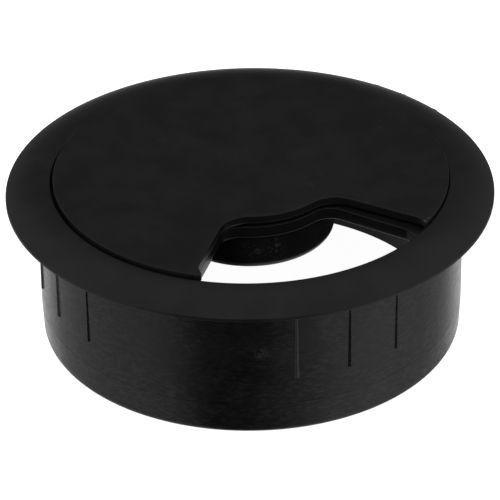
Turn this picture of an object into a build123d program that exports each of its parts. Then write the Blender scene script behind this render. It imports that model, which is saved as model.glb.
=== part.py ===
from build123d import *
import os
from math import cos, degrees, hypot, radians, sin

# A desk cable grommet, in millimetres. Z points up along the grommet's axis, and Z = 0 is the desk's surface,
# where the flange's underside rests. A group of grip ribs is centred on -Y.

# Liner wall
wall_diameter = 79.5
wall_thickness = 2.85
liner_depth = 28.0
lead_in_height = 6.4
lead_in_inset = 0.25
foot_outer_round = 1.3
foot_inner_round = 0.4

# Flange
flange_overhang = 5.75
flange_edge = 0.6
flange_rise = 2.9
flange_crown = 0.5
flange_inner_round = 0.2
rim_round_share = 0.45

# Ledge inside the liner that carries the insert
ledge_width = 2.0
ledge_height = 2.0

# Grip ribs on the wall, angles in degrees
rib_proud = 0.2
rib_width = 0.9
rib_length = 16.4
rib_run_out = 0.9
rib_pitch = 15.0
ribs_in_group = 3
rib_groups = 4

# Insert and cap plates
plate_side_gap = 0.3
insert_thickness = 2.3
cap_thickness = 1.9
cap_lift = 0.25
cap_proud = 0.75
cap_top_round = 0.15
insert_edge_round = 0.25

# Cable windows in the two plates, angles in degrees
window_inner_radius = 16.1
insert_window_angle = 74.8
insert_window_corner = 4.0
insert_rim_corner = 1.5
insert_turn = -5.3
cap_window_angle = 77.0
cap_window_corner = 5.8
cap_turn = -3.7

# Nibs that narrow the mouth of the cap's window at its rim
nib_reach = 1.5
nib_thickness = 1.1
nib_fillet = 1.0
nib_tip_round = 0.2

# Hub cup under the insert
hub_lip = 0.35
hub_depth = 7.0
hub_wall = 2.0
hub_floor = 2.0
hub_round = 1.6

# Collar and split snap stud under the cap
collar_diameter = 15.0
collar_wall = 1.5
stud_diameter = 8.2
stud_wall = 1.8
stud_clearance = 0.1
turning_play = 0.1
barb_reach = 0.7
barb_height = 2.0
barb_lead_in = 1.1
slot_width = 1.4
slot_depth = 6.2

# Worked out from the sizes above
wall_radius = wall_diameter / 2
bore_radius = wall_radius - wall_thickness
flange_radius = wall_radius + flange_overhang
plate_radius = bore_radius - plate_side_gap
nib_radius = plate_radius - nib_thickness
nib_length = nib_reach * nib_radius / plate_radius
nib_corner = min(nib_fillet, nib_length - 2 * nib_tip_round)
mouth_angle = cap_window_angle - 2 * degrees(nib_reach / plate_radius)
cap_top = flange_rise + cap_proud
cap_bottom = cap_top - cap_thickness
insert_top = cap_bottom - cap_lift
insert_bottom = insert_top - insert_thickness
hub_radius = window_inner_radius - hub_lip
hub_inner_radius = hub_radius - hub_wall
hub_bottom = insert_bottom - hub_depth
hub_floor_top = hub_bottom + hub_floor
stud_radius = stud_diameter / 2
stud_hole_radius = stud_radius + stud_clearance
collar_bottom = hub_floor_top + turning_play
barb_top = hub_bottom - turning_play
stud_bottom = barb_top - barb_height
front_angle = -90.0
cut_over = 1.0
quarter_turn = 90.0


def plan_radius(vertex):
    """Distance of a vertex from the upright axis."""
    return hypot(vertex.X, vertex.Y)


def profile_face(points):
    """A flat outline in the plane of X and Z, from points given as radius and height."""
    return Plane.XZ * make_face(Polyline(*points, close=True))


def ring(inner_radius, outer_radius, bottom, top):
    """A plain upright tube between two heights."""
    plan = Circle(outer_radius) - Circle(inner_radius)
    return Pos(0, 0, bottom) * extrude(plan, top - bottom)


def sector_plan(angle, inner_radius):
    """A sector at the front from a radius to beyond the plates' rim."""
    start = front_angle - angle / 2
    inner_arc = CenterArc((0, 0), inner_radius, start, angle)
    outer_arc = CenterArc((0, 0), plate_radius + cut_over, start, angle)
    sides = [Line(inner_arc @ 0, outer_arc @ 0), Line(inner_arc @ 1, outer_arc @ 1)]
    return make_face([inner_arc, outer_arc, *sides])


def window_plan(angle, inner_corner):
    """The window's sector with its two inner corners rounded, long enough to be open at the rim."""
    sector = sector_plan(angle, window_inner_radius)
    corners = sector.vertices().sort_by(plan_radius)[:2]
    return fillet(corners, inner_corner)


def round_pair(plan, radius, angle, corner):
    """The plan with two corners rounded: those at a radius, half the angle to either side of the front."""
    half = radians(angle / 2)
    places = [Vertex(side * radius * sin(half), -radius * cos(half), 0) for side in (-1, 1)]
    corners = [plan.vertices().sort_by_distance(place)[0] for place in places]
    return fillet(corners, corner)


def insert_plan():
    """The insert's round plate with its window, turned about the axis."""
    plan = Circle(plate_radius) - window_plan(insert_window_angle, insert_window_corner)
    return Rot(0, 0, insert_turn) * round_pair(plan, plate_radius, insert_window_angle, insert_rim_corner)


def cap_plan():
    """The cap's round plate with its window, whose mouth has a nib on either side, turned about the axis."""
    window = window_plan(cap_window_angle, cap_window_corner) & Circle(nib_radius)
    window += sector_plan(mouth_angle, nib_radius - cut_over)
    plan = Circle(plate_radius) - window
    plan = round_pair(plan, nib_radius, cap_window_angle, nib_corner)
    plan = round_pair(plan, nib_radius, mouth_angle, nib_tip_round)
    return Rot(0, 0, cap_turn) * round_pair(plan, plate_radius, mouth_angle, nib_tip_round)


def liner_profile():
    """Half section of the liner without its ribs: flange, wall, foot, bore and ledge."""
    ledge_radius = bore_radius - ledge_width
    foot_radius = wall_radius - lead_in_inset
    ledge_bottom = insert_bottom - ledge_height
    bore_top = (bore_radius, flange_rise)
    rim_top = (flange_radius, flange_edge)
    dome = SagittaArc(bore_top, rim_top, flange_crown)
    outside = Polyline(
        rim_top,
        (flange_radius, 0),
        (wall_radius, 0),
        (wall_radius, lead_in_height - liner_depth),
        (foot_radius, -liner_depth),
        (bore_radius, -liner_depth),
        (bore_radius, ledge_bottom - ledge_width),
        (ledge_radius, ledge_bottom),
        (ledge_radius, insert_bottom),
        (bore_radius, insert_bottom),
        bore_top,
    )
    section = make_face([dome, *outside.edges()])
    rounds = [
        (rim_top, flange_edge * rim_round_share),
        ((flange_radius, 0), flange_edge * rim_round_share),
        (bore_top, flange_inner_round),
        ((foot_radius, -liner_depth), foot_outer_round),
        ((bore_radius, -liner_depth), foot_inner_round),
    ]
    for place, radius in rounds:
        corner = section.vertices().sort_by_distance(Vertex(*place, 0))[0]
        section = fillet(corner, radius)
    return Plane.XZ * section


def grip_rib():
    """One rib on the front of the wall, with a sloping run-out at its lower end."""
    root_radius = wall_radius - wall_thickness / 2
    crest_radius = wall_radius + rib_proud
    side = profile_face(
        [
            (root_radius, 0),
            (crest_radius, 0),
            (crest_radius, rib_run_out - rib_length),
            (wall_radius, -rib_length),
            (root_radius, -rib_length),
        ]
    )
    return Rot(0, 0, front_angle) * extrude(side, rib_width / 2, both=True)


def make_liner():
    """The liner: a turned body with groups of ribs on its wall."""
    body = revolve(liner_profile(), Axis.Z)
    rib = grip_rib()
    middle = (ribs_in_group - 1) / 2
    for group in range(rib_groups):
        for place in range(ribs_in_group):
            angle = group * 360 / rib_groups + (place - middle) * rib_pitch
            body += Rot(0, 0, angle) * rib
    return body


def make_insert():
    """The insert: a plate with the window, and a hub cup with a hole in its floor for the cap's stud."""
    plate = Pos(0, 0, insert_bottom) * extrude(insert_plan(), insert_thickness)
    rims = plate.faces().sort_by(Axis.Z)
    plate = fillet(rims[0].edges() + rims[-1].edges(), insert_edge_round)
    plate -= Pos(0, 0, insert_bottom) * Cylinder(
        hub_inner_radius, insert_thickness, align=(Align.CENTER, Align.CENTER, Align.MIN)
    )
    cup = ring(hub_inner_radius, hub_radius, hub_bottom, insert_bottom)
    cup += ring(stud_hole_radius, hub_inner_radius, hub_bottom, hub_floor_top)
    outer_edge = cup.faces().sort_by(Axis.Z)[0].edges().sort_by(SortBy.RADIUS)[-1]
    return plate + fillet(outer_edge, hub_round)


def snap_stud():
    """The split stud: a tube with a barb at its end, cut into four prongs."""
    prongs = revolve(
        profile_face(
            [
                (stud_radius - stud_wall, stud_bottom),
                (stud_radius + barb_reach - barb_lead_in, stud_bottom),
                (stud_radius + barb_reach, barb_top),
                (stud_radius, barb_top),
                (stud_radius, cap_bottom),
                (stud_radius - stud_wall, cap_bottom),
            ]
        ),
        Axis.Z,
    )
    across = 2 * (stud_radius + barb_reach + cut_over)
    slot = Pos(0, 0, stud_bottom) * Box(
        across, slot_width, slot_depth, align=(Align.CENTER, Align.CENTER, Align.MIN)
    )
    return prongs - slot - Rot(0, 0, quarter_turn) * slot


def make_cap():
    """The cap: a plate with the window and its nibs, and the collar and stud that it turns on."""
    plate = Pos(0, 0, cap_bottom) * extrude(cap_plan(), cap_thickness)
    plate = fillet(plate.faces().sort_by(Axis.Z)[-1].edges(), cap_top_round)
    collar_radius = collar_diameter / 2
    collar = ring(collar_radius - collar_wall, collar_radius, collar_bottom, cap_bottom)
    return plate + collar + snap_stud()


os.makedirs("parts", exist_ok=True)
pieces = {"liner": make_liner(), "insert": make_insert(), "cap": make_cap()}
for name, piece in pieces.items():
    export_step(piece, f"parts/{name}.step")
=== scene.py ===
"""Studio scene of a black plastic desk cable grommet: a flanged liner, an insert in it and a turning cap.

Lengths in the classes are millimetres in the part's frame, with Z up and Z = 0 at the desk's surface. Plan
angles are in degrees, counted from -Y towards +X. A mesh is scaled to metres when it is made.
"""

import logging
import math
from collections.abc import Mapping, Sequence
from dataclasses import dataclass, field, fields, replace
from enum import Enum

import bpy
import numpy as np
from mathutils import Matrix, Vector

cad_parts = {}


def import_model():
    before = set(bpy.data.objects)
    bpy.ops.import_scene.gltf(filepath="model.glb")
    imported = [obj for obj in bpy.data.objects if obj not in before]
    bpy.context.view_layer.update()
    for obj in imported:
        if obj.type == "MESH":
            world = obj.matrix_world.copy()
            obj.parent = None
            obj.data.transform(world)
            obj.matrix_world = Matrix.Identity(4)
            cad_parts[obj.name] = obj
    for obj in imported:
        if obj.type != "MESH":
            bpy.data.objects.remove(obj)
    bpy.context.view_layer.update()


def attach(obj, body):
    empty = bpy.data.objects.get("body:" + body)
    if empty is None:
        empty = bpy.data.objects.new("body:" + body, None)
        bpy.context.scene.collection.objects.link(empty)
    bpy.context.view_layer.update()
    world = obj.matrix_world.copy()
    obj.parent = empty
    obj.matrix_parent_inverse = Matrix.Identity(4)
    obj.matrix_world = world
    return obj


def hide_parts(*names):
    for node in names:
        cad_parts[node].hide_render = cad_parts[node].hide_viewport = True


LOG = logging.getLogger("grommet")
MM = 0.001
FULL_TURN = 360.0
HALF_TURN = FULL_TURN / 2.0
QUARTER_TURN = FULL_TURN / 4.0
PHOTO_AZIMUTH = -26.1
SHARP_EDGE = 40.0
NOISE_MIDDLE = 0.5
SQUARE = np.array([[-1.0, -1.0], [1.0, -1.0], [1.0, 1.0], [-1.0, 1.0]])

Socket = bpy.types.NodeSocket
Operand = Socket | float | Sequence[float]
Pair = tuple[float, float]
Triple = tuple[float, float, float]
Color = tuple[float, float, float, float]


class Zone(Enum):
    """Surfaces of the liner with a material of their own: the top and the wall with finishes of their own,
    and the inside with a lighter colour that is painted light in its shade.
    """

    TOP = 0
    WALL = 1
    INSIDE = 2


def plan_direction(angles: np.ndarray | float) -> np.ndarray:
    """Unit vectors on the plan: sine of the angle along X, minus its cosine along Y.

    Args:
        angles: plan angles in degrees, of any shape.

    Returns:
        An array of the same shape with a last axis of 2.
    """
    turned = np.radians(angles)
    return np.stack([np.sin(turned), -np.cos(turned)], axis=-1)


def sight_direction(azimuth: float, elevation: float) -> Vector:
    """Unit vector from the part to a place at an azimuth and an elevation.

    Args:
        azimuth: plan angle of the place in degrees.
        elevation: its height over the horizon in degrees.

    Returns:
        The vector.
    """
    around, above = math.radians(azimuth), math.radians(elevation)
    level = math.cos(above)
    return Vector((math.sin(around) * level, -math.cos(around) * level, math.sin(above)))


def unit_rows(vectors: np.ndarray) -> np.ndarray:
    """Each row of an array, divided by its length."""
    return vectors / np.linalg.norm(vectors, axis=1, keepdims=True)


def way_along(points: np.ndarray) -> np.ndarray:
    """Length of a path from its first point to each of its points."""
    steps = np.linalg.norm(np.diff(points, axis=0), axis=1)
    return np.concatenate([[0.0], np.cumsum(steps)])


def smooth_rise(low: float, high: float, values: np.ndarray) -> np.ndarray:
    """Cubic step, 3 s squared minus 2 s cubed, with s the values' share of the way from low to high.

    Args:
        low: value at which the step is 0.
        high: value at which the step is 1; it may be below low.
        values: where the step is wanted.

    Returns:
        The step's height at each value.
    """
    share = np.clip((values - low) / (high - low), 0.0, 1.0)
    return share * share * (3.0 - 2.0 * share)


def rounded_path(corners: np.ndarray, radii: np.ndarray, steps: int) -> tuple[np.ndarray, np.ndarray]:
    """A closed path on which each corner is an arc tangent to both of its sides.

    The arc leaves the arriving side at radius times the tangent of half the turn before the corner, its
    centre lies one radius to the side, and its points are the first spoke turned by equal shares of the turn.

    Args:
        corners: corner points, n by 2.
        radii: one radius for each corner, 0 for a sharp one.
        steps: points on each arc.

    Returns:
        The path's points, m by 2, and the number of the corner that each belongs to.
    """
    arrive = unit_rows(corners - np.roll(corners, 1, axis=0))
    leave = unit_rows(np.roll(corners, -1, axis=0) - corners)
    cross = arrive[:, 0] * leave[:, 1] - arrive[:, 1] * leave[:, 0]
    turn = np.arctan2(cross, np.sum(arrive * leave, axis=1))
    tangent = radii * np.tan(np.abs(turn) / 2.0)
    start = corners - arrive * tangent[:, None]
    side = np.column_stack([-arrive[:, 1], arrive[:, 0]]) * np.sign(turn)[:, None]
    centre = start + side * radii[:, None]
    angle = turn[:, None] * np.linspace(0.0, 1.0, steps)[None, :]
    spoke = start - centre
    across = spoke[:, 0, None] * np.cos(angle) - spoke[:, 1, None] * np.sin(angle)
    along = spoke[:, 0, None] * np.sin(angle) + spoke[:, 1, None] * np.cos(angle)
    arcs = centre[:, None, :] + np.stack([across, along], axis=-1)
    keep = (radii[:, None] > 0.0) | (np.arange(steps)[None, :] == 0)
    owner = np.broadcast_to(np.arange(len(corners))[:, None], keep.shape)
    return arcs[keep], owner[keep]


def crown_arc(start: np.ndarray, end: np.ndarray, rise: float, count: int) -> np.ndarray:
    """Points of a shallow arc over the chord from start to end, without its two ends.

    With chord c and rise h the radius is c squared / 8h + h / 2. A point lies at radius times the sine of
    its angle along the chord, and at radius times the cosine, less the radius, plus h, beside it.

    Args:
        start: first end, radius and height.
        end: second end.
        rise: height of the arc over its chord, to the left of the way from start to end.
        count: points between the ends.

    Returns:
        The points, count by 2.
    """
    chord = end - start
    length = float(np.linalg.norm(chord))
    radius = length * length / (8.0 * rise) + rise / 2.0
    half = math.asin(length / 2.0 / radius)
    angle = np.linspace(-half, half, count + 2)[1:-1]
    ahead = chord / length
    outward = np.array([-ahead[1], ahead[0]])
    along = radius * np.sin(angle) + length / 2.0
    beside = radius * np.cos(angle) - radius + rise
    return start + along[:, None] * ahead + beside[:, None] * outward


def quarter_round(radius: float, steps: int) -> tuple[np.ndarray, np.ndarray]:
    """An edge's quarter round, as inset and drop: radius (1 - sine) and radius (1 - cosine) of the angle.

    Args:
        radius: radius of the round.
        steps: points on it, both ends included.

    Returns:
        Inset from the side and drop from the face at each point, from the face to the side.
    """
    angle = np.linspace(0.0, math.pi / 2.0, steps)
    return radius * (1.0 - np.sin(angle)), radius * (1.0 - np.cos(angle))


def ring_faces(rows: int, columns: int, wrap: bool) -> np.ndarray:
    """Quads of a grid whose columns close on themselves.

    Args:
        rows: rows of points in the grid.
        columns: points in a row.
        wrap: whether the last row joins the first.

    Returns:
        Vertex numbers, four for each quad.
    """
    row = np.arange(rows if wrap else rows - 1)[:, None]
    column = np.arange(columns)[None, :]
    beside = (column + 1) % columns
    here, below = row * columns, (row + 1) % rows * columns
    corners = [here + column, here + beside, below + beside, below + column]
    return np.stack(corners, axis=-1).reshape(-1, 4)


def enclosed_volume(points: np.ndarray, quads: np.ndarray) -> float:
    """Volume inside a closed surface: the sum, over the triangles of its quads, of a sixth of a . (b x c).

    Args:
        points: vertices, n by 3.
        quads: four vertex numbers for each face.

    Returns:
        The volume, negative if the faces point inwards.
    """
    first, second, third, fourth = (points[quads[:, i]] for i in range(4))
    lower = np.einsum("ij,ij->i", first, np.cross(second, third))
    upper = np.einsum("ij,ij->i", first, np.cross(third, fourth))
    return float(np.sum(lower + upper) / 6.0)


def surface_object(name: str, points: np.ndarray, quads: np.ndarray) -> bpy.types.Object:
    """Puts a closed surface of quads into the scene, faces outwards and smooth but for its sharp edges.

    A quad with two equal vertices beside each other becomes a triangle, so a fan at a pole is given as quads.

    Args:
        name: the piece's name.
        points: vertices in millimetres.
        quads: four vertex numbers for each face.

    Returns:
        The new object, at the origin.
    """
    if enclosed_volume(points, quads) < 0.0:
        quads = quads[:, ::-1]
    flat = (quads[:, 0] == quads[:, 1]) | (quads[:, 2] == quads[:, 3])
    whole = quads[~flat].tolist()
    fans = [list(dict.fromkeys(face)) for face in quads[flat].tolist()]
    mesh = bpy.data.meshes.new(name)
    mesh.from_pydata((points * MM).tolist(), [], whole + fans)
    mesh.validate()
    mesh.shade_smooth()
    mesh.set_sharp_from_angle(angle=math.radians(SHARP_EDGE))
    piece = bpy.data.objects.new(name, mesh)
    bpy.context.scene.collection.objects.link(piece)
    return piece


@dataclass(frozen=True)
class OutlineRun:
    """A stretch of a plate's outline, with its normals into the plate and a row of points inside it.

    The outline lower down differs from the one at the top only at a nib, which ends above it.
    """

    points: np.ndarray
    inward: np.ndarray
    low_points: np.ndarray
    low_inward: np.ndarray
    guide: np.ndarray

    @classmethod
    def upright(cls, points: np.ndarray, inward: np.ndarray, depth: float) -> "OutlineRun":
        """A run that is the same all the way down, with its inside points straight behind its own."""
        return cls(points, inward, points, inward, points + depth * inward)


@dataclass(frozen=True)
class WindowedOutline:
    """Outline of a round plate with a sector window open at its rim, as a closed path round the plate.

    The window's mouth has plain rounded corners, or a wedge-shaped nib on either side that narrows it. A
    right nib that differs is given by its reach, its start and its tip.
    """

    window_angle: float
    inner_corner: float
    turn: float
    shift: Pair = (0.0, 0.0)
    radius: float = 36.6
    window_inner: float = 16.1
    rim_corner: float = 1.5
    nib_reach: float = 0.0
    nib_start: float = 2.5
    nib_tip: float = 0.6
    nib_lean: float = 0.1
    nib_rounds: Triple = (1.2, 0.25, 0.2)
    nib_behind: float = 2.0
    right_nib: Triple | None = None
    guide_depth: float = 0.9
    guide_squeeze: float = 0.3
    arc_points: int = 30
    bend_points: int = 22
    side_points: int = 26
    corner_points: int = 18
    rim_points: int = 112
    nib_round_points: int = 9
    nib_rim_points: int = 14
    under_side_points: int = 12
    under_rim_points: int = 4

    def plain_mouth(self, half: float) -> tuple[OutlineRun, float, float]:
        """The corner between the window's side and the rim: an arc with its centre a radius inside both.

        Args:
            half: half of the window's angle.

        Returns:
            The corner, the radius at which it begins on the side, and the angle at which it ends on the rim.
        """
        far = self.radius - self.rim_corner
        lag = math.asin(self.rim_corner / far)
        end = half + math.degrees(lag)
        nose = plan_direction(np.linspace(half - QUARTER_TURN, end, self.corner_points))
        points = far * plan_direction(end) + self.rim_corner * nose
        return OutlineRun.upright(points, -nose, self.guide_depth), far * math.cos(lag), end

    def nib_mouth(self, half: float) -> tuple[OutlineRun, float, float]:
        """The nib: a slope from the window's side to a blunt tip, and the rim back to behind the side.

        It is drawn by radius and by arc length into the window, so the plan angle is the half angle less
        arc length over radius. A normal is the way along the path, turned a quarter. The inside points
        follow the radius up to the tip, and then fall behind it evenly.

        Args:
            half: half of the window's angle.

        Returns:
            The nib, the radius at which it begins on the side, and the angle at which it ends on the rim.
        """
        tip_start = self.radius - self.nib_tip
        corners = [
            [self.window_inner, 0.0],
            [self.radius - self.nib_start, 0.0],
            [tip_start, self.nib_reach - self.nib_lean],
            [self.radius, self.nib_reach],
            [self.radius, -self.nib_behind],
            [self.window_inner, -self.nib_behind],
        ]
        rounds = np.array([0.0, *self.nib_rounds, 0.0, 0.0])
        path, owner = rounded_path(np.array(corners), rounds, self.nib_round_points)
        bends = path[rounds[owner] > 0.0]
        rim = np.linspace(bends[-1, 1], -self.nib_behind, self.nib_rim_points)[1:]
        drawn = np.concatenate([bends, np.column_stack([np.full(len(rim), self.radius), rim])])
        before = np.array([[self.window_inner, 0.0]])
        after = np.array([[self.radius, -2.0 * self.nib_behind]])
        ahead = unit_rows(np.gradient(np.concatenate([before, drawn, after]), axis=0)[1:-1])
        far, into = drawn.T
        angle = half - np.degrees(into / far)
        outwards, around = plan_direction(angle), plan_direction(angle + QUARTER_TURN)
        inward = ahead[:, 1, None] * outwards + ahead[:, 0, None] * around
        fall = np.clip(np.linspace(-1.0, 1.0, len(drawn)), 0.0, 1.0)
        depth = self.guide_depth + (self.nib_behind - self.guide_depth) * fall
        squeezed = tip_start + self.guide_squeeze * (far - tip_start) - self.guide_depth / 2.0
        guide_far = np.minimum(far, squeezed)
        guide = guide_far[:, None] * plan_direction(half + np.degrees(depth / guide_far))
        side_end = bends[0, 0]
        rim_start = half + math.degrees(self.nib_behind / self.radius)
        low_points, low_inward = self.under_nib(half, side_end, rim_start, len(drawn))
        nib = OutlineRun(far[:, None] * outwards, inward, low_points, low_inward, guide)
        return nib, side_end, rim_start

    def under_nib(
        self, half: float, side_end: float, rim_start: float, count: int
    ) -> tuple[np.ndarray, np.ndarray]:
        """The plain corner under a nib, with its points evenly spread over the stretch that the nib takes.

        Args:
            half: half of the window's angle.
            side_end: radius at which the stretch begins on the window's side.
            rim_start: angle at which it ends on the rim.
            count: number of points.

        Returns:
            The points and their normals into the plate.
        """
        corner, corner_start, corner_end = self.plain_mouth(half)
        reach = np.linspace(side_end, corner_start, self.under_side_points)[:-1, None]
        straight = reach * plan_direction(half)
        rim = plan_direction(np.linspace(corner_end, rim_start, self.under_rim_points)[1:])
        aside = np.broadcast_to(plan_direction(half + QUARTER_TURN), straight.shape)
        points = np.concatenate([straight, corner.points, self.radius * rim])
        inward = np.concatenate([aside, corner.inward, -rim])
        travelled = way_along(points)
        place = np.linspace(0.0, travelled[-1], count)
        spread = [np.interp(place, travelled, way) for way in np.column_stack([points, inward]).T]
        return np.column_stack(spread[:2]), unit_rows(np.column_stack(spread[2:]))

    def half_path(self) -> tuple[OutlineRun, np.ndarray]:
        """The half of the outline with positive angles, from the window's middle to the back.

        It is made of arcs and sides. The window's inner corner has its centre at the window's inner radius
        plus the corner's, and as far round that the window's side is tangent to it: by the arcsine of corner
        over distance.

        Returns:
            The half outline, and for each of its points the angle of its partner on a round hub.
        """
        half = self.window_angle / 2.0
        inner_far = self.window_inner + self.inner_corner
        lag = math.asin(self.inner_corner / inner_far)
        arc_end = half - math.degrees(lag)
        arc = plan_direction(np.linspace(0.0, arc_end, self.arc_points))
        bend = plan_direction(np.linspace(arc_end + HALF_TURN, half + QUARTER_TURN, self.bend_points)[1:])
        corner = inner_far * plan_direction(arc_end) + self.inner_corner * bend
        mouth, side_end, rim_start = self.nib_mouth(half) if self.nib_reach else self.plain_mouth(half)
        reach = np.linspace(inner_far * math.cos(lag), side_end, self.side_points)[1:-1, None]
        side = np.broadcast_to(plan_direction(half + QUARTER_TURN), (len(reach), 2))
        rim = plan_direction(np.linspace(rim_start, HALF_TURN, self.rim_points)[1:])
        runs = [
            OutlineRun.upright(self.window_inner * arc, -arc, self.guide_depth),
            OutlineRun.upright(corner, bend, self.guide_depth),
            OutlineRun.upright(reach * plan_direction(half), side, self.guide_depth),
            mouth,
            OutlineRun.upright(self.radius * rim, -rim, self.guide_depth),
        ]
        names = [part.name for part in fields(OutlineRun)]
        whole = OutlineRun(*(np.concatenate([getattr(run, name) for run in runs]) for name in names))
        held = len(arc) + len(bend)
        polar = np.degrees(np.arctan2(whole.points[:held, 0], -whole.points[:held, 1]))
        travelled = way_along(whole.guide[held - 1 :])
        spread = half + (HALF_TURN - half) * travelled[1:] / travelled[-1]
        return whole, np.concatenate([polar, spread])

    def path(self) -> tuple[OutlineRun, np.ndarray]:
        """The whole outline: both halves, the other one mirrored, turned and moved off the axis.

        Returns:
            The outline, and for each of its points the angle of its partner on a round hub.
        """
        right_side = self
        if self.right_nib:
            reach, start, tip = self.right_nib
            right_side = replace(self, nib_reach=reach, nib_start=start, nib_tip=tip)
        right, right_partner = right_side.half_path()
        left, left_partner = self.half_path()
        partner = np.concatenate([right_partner, -left_partner[-2:0:-1]]) + self.turn
        angle = math.radians(self.turn)
        turned = np.array([[math.cos(angle), math.sin(angle)], [-math.sin(angle), math.cos(angle)]])
        mirror = np.array([-1.0, 1.0])
        whole = {}
        for name in (part.name for part in fields(OutlineRun)):
            mirrored = (getattr(left, name) * mirror)[-2:0:-1]
            shift = np.array(self.shift) * (not name.endswith("inward"))
            whole[name] = np.concatenate([getattr(right, name), mirrored]) @ turned + shift
        return OutlineRun(**whole), partner


class PlateRows:
    """Rows of points for a windowed plate: insets of its outline, rings round its middle, and blends."""

    def __init__(self, outline: WindowedOutline) -> None:
        """Keeps the outline's path and starts with no rows."""
        self.outline, self.partner = outline.path()
        self.rows: list[np.ndarray] = []

    def ring_plan(self, radius: float) -> np.ndarray:
        """Points of a ring round the axis, each at its partner's angle."""
        return radius * plan_direction(self.partner)

    def add(self, plan: np.ndarray, height: float) -> None:
        """Adds one row at a height."""
        self.rows.append(np.column_stack([plan, np.full(len(plan), height)]))

    def rings(self, profile: np.ndarray) -> None:
        """Adds a ring for each radius and height of a profile."""
        for radius, height in profile:
            self.add(self.ring_plan(radius), height)

    def edge(self, insets: np.ndarray, heights: np.ndarray) -> None:
        """Adds the outline moved into the plate by each inset, at each height."""
        for inset, height in zip(insets, heights):
            self.add(self.outline.points + inset * self.outline.inward, height)

    def low_edge(self, insets: np.ndarray, heights: np.ndarray) -> None:
        """Adds the outline below any nibs, moved into the plate by each inset, at each height."""
        for inset, height in zip(insets, heights):
            self.add(self.outline.low_points + inset * self.outline.low_inward, height)

    def blend(self, radius: float, height: float, shares: np.ndarray) -> None:
        """Adds rows on straight lines from a ring to the points inside the outline.

        Args:
            radius: the ring's radius.
            height: the face's height.
            shares: each row's share of the way, 0 at the ring and 1 at the points inside the outline.
        """
        ring = self.ring_plan(radius)
        for share in shares:
            self.add((1.0 - share) * ring + share * self.outline.guide, height)

    def grid(self) -> np.ndarray:
        """All rows as one array, rows by columns by 3."""
        return np.stack(self.rows)


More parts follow.
